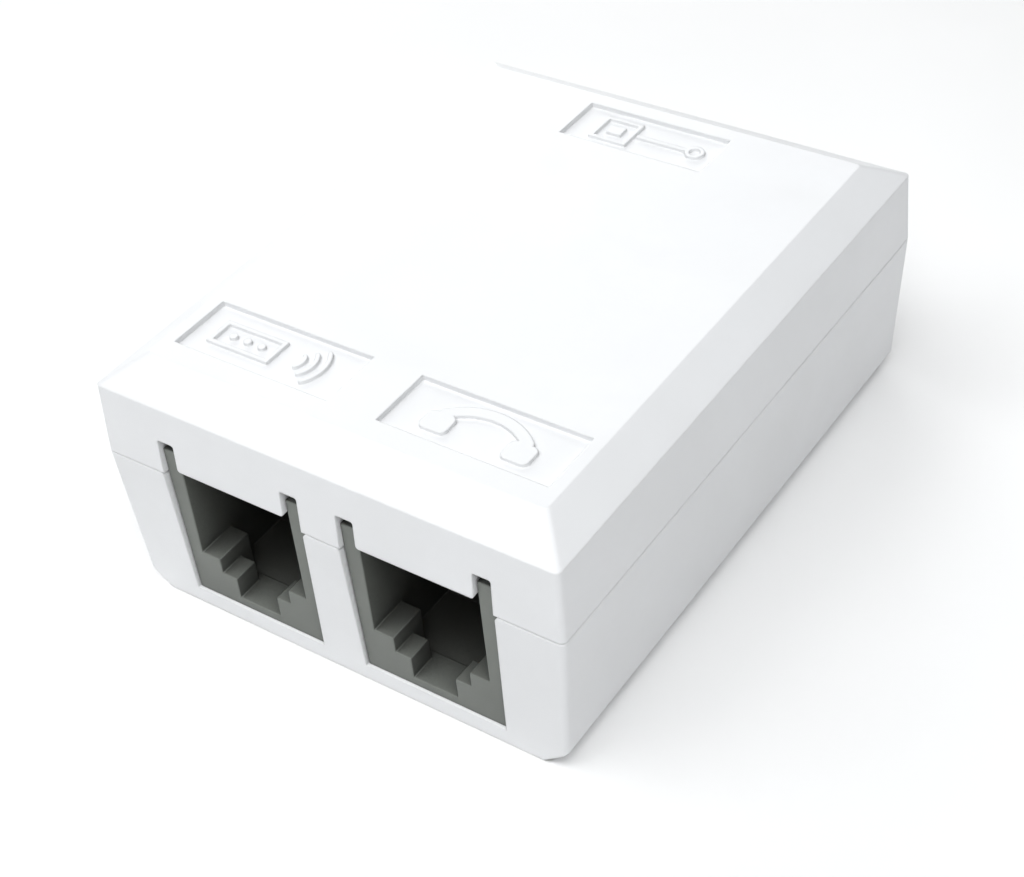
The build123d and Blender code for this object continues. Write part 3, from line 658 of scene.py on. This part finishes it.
def lumps(name):
    """The separate lumps of a CAD node, each as a list of its points."""
    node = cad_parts[name]
    bm = bmesh.new()
    bm.from_mesh(node.data)
    bmesh.ops.remove_doubles(bm, verts=bm.verts, dist=WELD_DISTANCE)
    waiting = set(bm.verts)
    found = []
    while waiting:
        stack = [waiting.pop()]
        lump = []
        while stack:
            vertex = stack.pop()
            lump.append(node.matrix_world @ vertex.co)
            near = {edge.other_vert(vertex) for edge in vertex.link_edges} & waiting
            waiting -= near
            stack.extend(near)
        found.append(lump)
    bm.free()
    return sorted(found, key=lambda lump: tuple(round(value, 5) for value in middle_of(lump)))


def middle_of(points):
    """Middle of the box round some points."""
    return Vector([(min(p[i] for p in points) + max(p[i] for p in points)) / 2 for i in range(3)])


def wind_coil(choke):
    """Turns of enamelled wire side by side on the bobbin, over the layers beneath."""
    low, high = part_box(f"{choke}_choke_winding")
    centre, half = (low + high) / 2, (high - low) / 2
    length = high.y - low.y
    turns = round(length / COIL_WIRE)
    wire = length / turns / 2
    loop = rounded_rectangle(half.x - wire, half.z - wire, COIL_CORNER - wire)
    path = []
    for turn in range(turns):
        slack = COIL_SLACK * random.random()
        for index, (across, up) in enumerate(loop):
            along = low.y + wire + (length - 2 * wire) * (turn + index / len(loop)) / turns
            offset = Vector((across, 0, up)) * (1 - slack)
            path.append(Vector((centre.x, along, centre.z)) + offset)
    bm = bmesh.new()
    add_tube(bm, path, wire)
    deep = COIL_LAYER * wire
    outer = rounded_rectangle(half.x - deep, half.z - deep, COIL_CORNER - deep)
    inner = rounded_rectangle(COIL_TUBE[0] / 2, COIL_TUBE[1] / 2, COIL_TUBE_CORNER)
    rings = []
    for outline, along in ((outer, low.y), (outer, high.y), (inner, high.y), (inner, low.y)):
        rings.append([Vector((centre.x + across, along, centre.z + up)) for across, up in outline])
    bridge(bm, rings, closed=True)
    add_piece(f"{choke}_choke_coil", bm, "winding", f"{choke}_choke_winding")


def dip_body(name, node, slot, measure, cuts):
    """Dipped body that fills the box of its CAD node, with collars of resin on its leads."""
    low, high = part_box(node)
    centre, half = (low + high) / 2, (high - low) / 2
    bm = bmesh.new()
    bmesh.ops.create_cube(bm, size=2)
    bmesh.ops.subdivide_edges(bm, edges=bm.edges, cuts=cuts, use_grid_fill=True)
    for vertex in bm.verts:
        shape = vertex.co / measure(vertex.co)
        dent = 1 - DIP_WAVES * (1 + noise.noise(shape * DIP_WAVE_RATE + centre / MM)) / 2
        vertex.co = centre + Vector([shape[axis] * half[axis] * dent for axis in range(3)])
    for lump in lumps("component_leads"):
        lead = middle_of(lump)
        if abs(lead.x - centre.x) < half.x and abs(lead.y - centre.y) < half.y:
            foot = Vector((lead.x, lead.y, high.z - COLLAR_DEPTH))
            profile = [(COLLAR_DEPTH * along, radius * MM) for along, radius in COLLAR_PROFILE]
            add_lathe(bm, foot, UP, profile, sides=COLLAR_SIDES)
    add_piece(name, bm, slot, node)


def box_measure(point):
    """1 on the surface of a box of half size 1 with rounded edges, less inside it."""
    return sum(abs(value) ** BOX_POWER for value in point) ** (1 / BOX_POWER)


def disc_measure(point):
    """1 on the surface of a lens of half size 1 that faces along Y, less inside it."""
    across = math.hypot(point.x, point.z)
    return (across ** DISC_POWER + abs(point.y) ** DISC_POWER) ** (1 / DISC_POWER)


def turn_resistor(node):
    """Lacquered resistor body: a waist between two rounded end caps."""
    low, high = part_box(node)
    half = (high.x - low.x) / 2
    end = (high.z - low.z) / 2
    first, last = RESISTOR_SWELL
    profile = []
    for index in range(RESISTOR_STEPS + 1):
        place = 2 * index / RESISTOR_STEPS - 1
        swell = min(max((abs(place) - first) / (last - first), 0), 1)
        swell = swell * swell * (3 - 2 * swell)
        body = RESISTOR_WAIST + (1 - RESISTOR_WAIST) * swell
        tip = max(abs(place) - RESISTOR_TIP, 0) / (1 - RESISTOR_TIP)
        radius = end * body * math.sqrt(1 - RESISTOR_TIP * tip * tip)
        profile.append((place * half, radius))
    bm = bmesh.new()
    add_lathe(bm, (low + high) / 2, Vector((1, 0, 0)), profile, sides=RESISTOR_SIDES)
    add_piece(f"{node}_body", bm, "resistor_coat", node)


def lay_track(bm, corners, top, level):
    """Raised strip along some corners, with sloped sides that start on the board's top."""
    rings = []
    for index, point in enumerate(corners):
        steps = []
        if index > 0:
            steps.append((point - corners[index - 1]).normalized())
        if index < len(corners) - 1:
            steps.append((corners[index + 1] - point).normalized())
        ahead = sum(steps, Vector()).normalized()
        reach = TRACK_WIDTH / 2 / ahead.dot(steps[0])
        side = Vector((ahead.y, -ahead.x, 0)) * reach
        slope = side * (1 - TRACK_SLOPE)
        rings.append([
            Vector((*(point + offset).xy, height))
            for offset, height in ((side, top), (slope, level), (-slope, level), (-side, top))
        ])
    bridge(bm, rings)


def lay_tracks():
    """Copper tracks and the pads of the joints, under the solder mask."""
    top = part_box("circuit_board")[1].z
    bm = bmesh.new()
    for number, track in enumerate(TRACKS):
        level = top + TRACK_HEIGHT * (1 + TRACK_STEP * (number % TRACK_LEVELS))
        lay_track(bm, [Vector((x, y, 0)) * MM for x, y in track], top, level)
    shoulder = PAD_RADIUS * (1 - TRACK_SLOPE / 2)
    pad = [(0, PAD_RADIUS), (PAD_HEIGHT, shoulder), (PAD_HEIGHT, PIN_HOLE), (0, PIN_HOLE)]
    for lump in lumps("solder_joints"):
        add_lathe(bm, Vector((*middle_of(lump).xy, top)), UP, pad, closed=True, sides=PAD_SIDES)
    add_piece("board_tracks", bm, "board", look="track")


def pour_solder():
    """Concave fillets of solder, each climbing from its pad to its lead."""
    bm = bmesh.new()
    for lump in lumps("solder_joints"):
        centre = middle_of(lump)
        distances = [math.hypot(point.x - centre.x, point.y - centre.y) for point in lump]
        bore, reach = min(distances), max(distances) * random.uniform(*SOLDER_REACH)
        foot = min(point.z for point in lump)
        height = (max(point.z for point in lump) - foot) * random.uniform(*SOLDER_RISE)
        neck = bore + SOLDER_LIP
        profile = [(0, bore)]
        for index in range(SOLDER_STEPS + 1):
            rise = index / SOLDER_STEPS
            profile.append((height * rise, neck + (reach - neck) * (1 - rise) ** SOLDER_HOLLOW))
        profile.append((height, bore))
        add_lathe(bm, Vector((centre.x, centre.y, foot)), UP, profile, closed=True)
    add_piece("solder_fillets", bm, "solder", "solder_joints")


# ---------------------------------------------------------------- stage


def direction_from(azimuth, elevation):
    """Unit vector from the box towards a viewer. Azimuth 0 is in front, 90 is at +X."""
    turn, rise = math.radians(azimuth), math.radians(elevation)
    level = math.cos(rise)
    return Vector((math.sin(turn) * level, -math.cos(turn) * level, math.sin(rise)))


def add_camera():
    """Camera that looks down on the front right corner of the box."""
    data = bpy.data.cameras.new("camera")
    data.lens = CAMERA_LENS
    data.sensor_width = CAMERA_SENSOR
    data.clip_start, data.clip_end = CAMERA_CLIP
    camera = bpy.data.objects.new("camera", data)
    bpy.context.scene.collection.objects.link(camera)
    back = direction_from(CAMERA_AZIMUTH, CAMERA_ELEVATION)
    roll = Quaternion((0, 0, 1), math.radians(CAMERA_ROLL))
    camera.rotation_mode = "QUATERNION"
    camera.rotation_quaternion = (-back).to_track_quat("-Z", "Y") @ roll
    camera.location = CAMERA_AIM + back * CAMERA_DISTANCE
    bpy.context.scene.camera = camera


def add_floor():
    """Square sheet, level with the underside of the box."""
    mesh = bpy.data.meshes.new("floor")
    half = FLOOR_SIDE / 2
    corners = [(x * half, y * half, CAD_BOX[0].z) for x, y in ((-1, -1), (1, -1), (1, 1), (-1, 1))]
    mesh.from_pydata(corners, [], [range(4)])
    mesh.materials.append(floor_look("floor"))
    floor = bpy.data.objects.new("floor", mesh)
    bpy.context.scene.collection.objects.link(floor)


def add_light(name, azimuth, elevation, power):
    """Square soft box that shines on the case, from an azimuth counted as the camera's."""
    data = bpy.data.lights.new(name, "AREA")
    data.size = LIGHT_SIDE
    data.energy = power
    data.color = LIGHT_COLOUR
    light = bpy.data.objects.new(name, data)
    bpy.context.scene.collection.objects.link(light)
    back = direction_from(azimuth, elevation)
    light.location = back * LIGHT_DISTANCE
    light.rotation_mode = "QUATERNION"
    light.rotation_quaternion = (-back).to_track_quat("-Z", "Y")


def add_sky():
    """Surroundings that give no light of their own: the soft boxes give all of it."""
    world = bpy.data.worlds.new("studio")
    world.use_nodes = True
    background = world.node_tree.nodes["Background"]
    background.inputs["Color"].default_value = (*SKY_COLOUR, 1)
    background.inputs["Strength"].default_value = SKY_STRENGTH
    bpy.context.scene.world = world


random.seed(RANDOM_SEED)
dress_nodes()
for choke_name in ("first", "second"):
    wind_coil(choke_name)
for number in (1, 2, 3):
    dip_body(f"dipped_film_{number}", f"film_capacitor_{number}", "film_case", box_measure, BOX_CUTS)
dip_body("dipped_disc", "disc_capacitor", "ceramic_coat", disc_measure, DISC_CUTS)
for number in (1, 2):
    turn_resistor(f"resistor_{number}")
lay_tracks()
pour_solder()
add_camera()
add_floor()
add_sky()
for light_name, light_setting in LIGHTS.items():
    add_light(light_name, *light_setting)
bpy.context.scene.view_settings.view_transform = "Standard"
